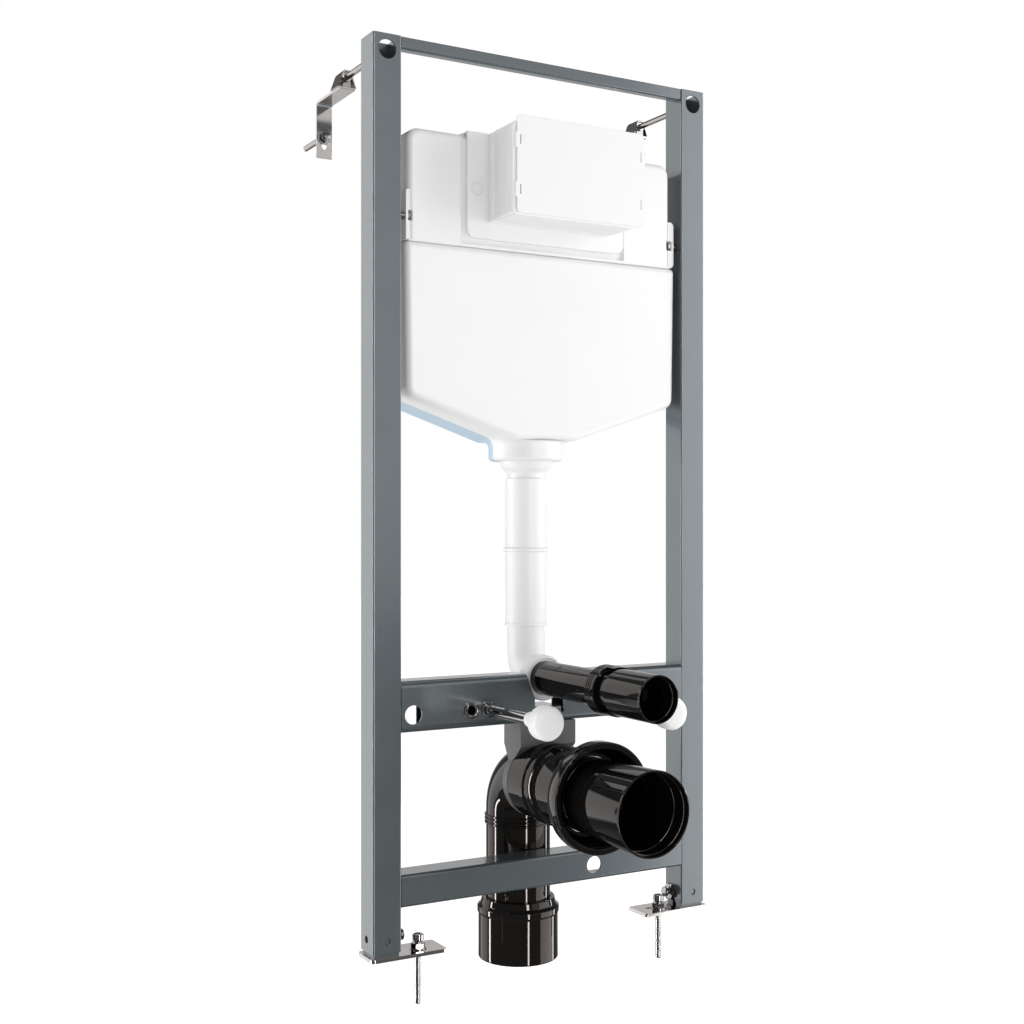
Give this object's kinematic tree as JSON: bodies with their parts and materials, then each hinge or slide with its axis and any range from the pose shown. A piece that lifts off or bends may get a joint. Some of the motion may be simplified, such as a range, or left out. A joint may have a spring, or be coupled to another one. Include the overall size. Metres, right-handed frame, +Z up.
{
  "type": "wall hung toilet frame",
  "caption": "Steel frame with telescopic feet, wall brackets and a slim concealed cistern, its flush pipe, pan studs and soil bend for a wall hung toilet.",
  "frame": {"origin": "underside of the left foot plate, below the left post's axis", "axes": "+X towards the right post, +Y towards the wall, +Z up"},
  "size_m": [0.506, 0.515, 1.1945],
  "materials": {
    "frame_paint": "satin",
    "zinc_plate": "satin",
    "bright_fixing": "gloss",
    "white_shell": "gloss",
    "blue_shell": "gloss",
    "black_pipe": "gloss",
    "grey_clamp": "matte"
  },
  "bodies": {
    "left_foot": {"left_leg": "frame_paint", "left_foot_plate": "zinc_plate", "left_floor_anchor": "bright_fixing"},
    "frame": {"access_base": "white_shell", "access_box": "white_shell", "access_lid": "white_shell", "cistern_back": "blue_shell", "cistern_lower": "white_shell", "cistern_upper": "white_shell", "elbow_collar": "white_shell", "flush_connector": "black_pipe", "flush_elbow": "white_shell", "flush_nut": "white_shell", "flush_pipe": "white_shell", "flush_ring_nut": "black_pipe", "flush_spigot": "black_pipe", "left_lock_bolt": "bright_fixing", "left_post": "frame_paint", "left_side_bolt": "bright_fixing", "left_spare_nut": "bright_fixing", "left_stud": "bright_fixing", "left_stud_cap": "white_shell", "left_stud_nut": "bright_fixing", "left_wall_clip": "zinc_plate", "left_wall_rod": "bright_fixing", "left_wall_screw": "bright_fixing", "left_wall_strap": "zinc_plate", "lower_rail": "frame_paint", "mid_rail": "frame_paint", "outlet_front": "white_shell", "outlet_rear": "blue_shell", "pan_flange": "black_pipe", "pan_sleeve": "black_pipe", "pan_spigot": "black_pipe", "right_lock_bolt": "bright_fixing", "right_post": "frame_paint", "right_side_bolt": "bright_fixing", "right_spare_nut": "bright_fixing", "right_stud": "bright_fixing", "right_stud_cap": "white_shell", "right_stud_nut": "bright_fixing", "right_wall_clip": "zinc_plate", "right_wall_rod": "bright_fixing", "right_wall_screw": "bright_fixing", "right_wall_strap": "zinc_plate", "soil_bend": "black_pipe", "soil_clamp": "grey_clamp", "soil_pipe": "black_pipe", "soil_socket": "black_pipe", "top_rail": "frame_paint"},
    "right_foot": {"right_leg": "frame_paint", "right_foot_plate": "zinc_plate", "right_floor_anchor": "bright_fixing"}
  },
  "joints": [
    {"name": "frame_lift", "type": "slide", "parent": "left_foot", "child": "frame", "axis": [0, 0, 1], "range_m": [0, 0.2]},
    {"name": "right_foot_slide", "type": "slide", "parent": "frame", "child": "right_foot", "axis": [0, 0, -1], "range_m": [0, 0.2]}
  ]
}
